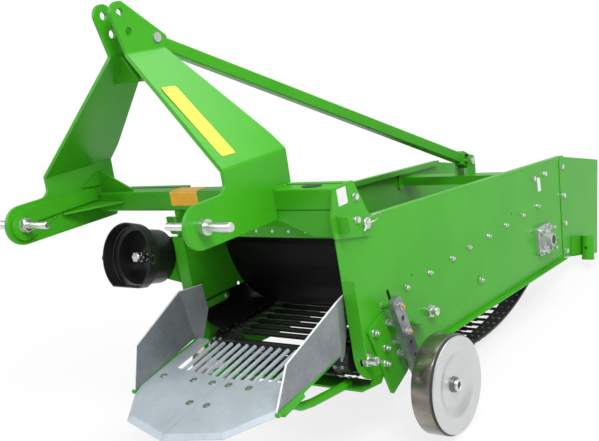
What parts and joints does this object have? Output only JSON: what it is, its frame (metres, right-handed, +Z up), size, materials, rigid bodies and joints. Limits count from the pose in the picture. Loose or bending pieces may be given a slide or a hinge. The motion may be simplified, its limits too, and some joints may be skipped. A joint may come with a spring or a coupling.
{
  "type": "mounted potato harvester",
  "caption": "Tractor-mounted potato harvester with a lifting share, sifting rod web between side walls, depth wheels and a three-point hitch.",
  "frame": {"origin": "middle of the box's bottom face, on the ground the parked machine stands on", "axes": "+X to the machine's left, +Y to its rear, +Z up; sitting back on both wheels and the lower rear corners of its panels, as it rests with no legs in its rear sockets"},
  "size_m": [1.2752, 2.4424, 1.4126],
  "materials": {
    "green_paint": "gloss paint",
    "galvanised_steel": "spangled zinc",
    "zinc_hardware": "bright zinc",
    "web_steel": "blackened",
    "wheel_paint": "satin paint",
    "black_rubber": "matt",
    "black_plastic": "matt",
    "dark_iron": "painted",
    "cast_housing": "plain casting",
    "grey_steel": "dark blued"
  },
  "bodies": {
    "frame": {"hitch_plates": "green_paint", "hitch_doublers": "green_paint", "hitch_pins": "zinc_hardware", "hitch_gussets": "green_paint", "hitch_cross": "green_paint", "main_beam": "green_paint", "beam_saddles": "green_paint", "beam_end_plates": "green_paint", "beam_brackets": "green_paint", "side_wall_left": "green_paint", "side_wall_right": "green_paint", "rear_panels": "green_paint", "rear_sockets": "green_paint", "rear_beam": "green_paint", "brace": "green_paint", "brace_pins": "zinc_hardware", "web": "web_steel", "drive_shaft": "web_steel", "drive_bearings": "cast_housing", "front_idler": "web_steel", "web_rollers": "web_steel", "pto_bearing": "green_paint", "pto_guard": "black_plastic", "drive_tube": "green_paint", "rear_gearbox": "dark_iron", "share_plates": "galvanised_steel", "share_fingers": "galvanised_steel", "share_cheeks": "galvanised_steel", "share_support": "green_paint", "arm_plates": "green_paint", "leg_spacers": "green_paint", "wheel_legs": "grey_steel", "clamp_strips": "green_paint", "front_curtain": "black_rubber", "side_skirts": "black_rubber"},
    "wheel_left": {"wheel_left": "wheel_paint"},
    "wheel_right": {"wheel_right": "wheel_paint"},
    "pto_input": {"pto_stub": "zinc_hardware"}
  },
  "joints": [
    {"name": "wheel_left_spin", "type": "hinge", "parent": "frame", "child": "wheel_left", "pos_m": [0.5988, -0.48165, 0.1515], "axis": [1, 0, 0], "continuous": true},
    {"name": "wheel_right_spin", "type": "hinge", "parent": "frame", "child": "wheel_right", "pos_m": [-0.274, -0.48165, 0.1515], "axis": [1, 0, 0], "continuous": true},
    {"name": "pto_input_spin", "type": "hinge", "parent": "frame", "child": "pto_input", "pos_m": [-0.3076, -0.70961, 0.60589], "axis": [0, -0.9526, 0.3042], "continuous": true}
  ]
}
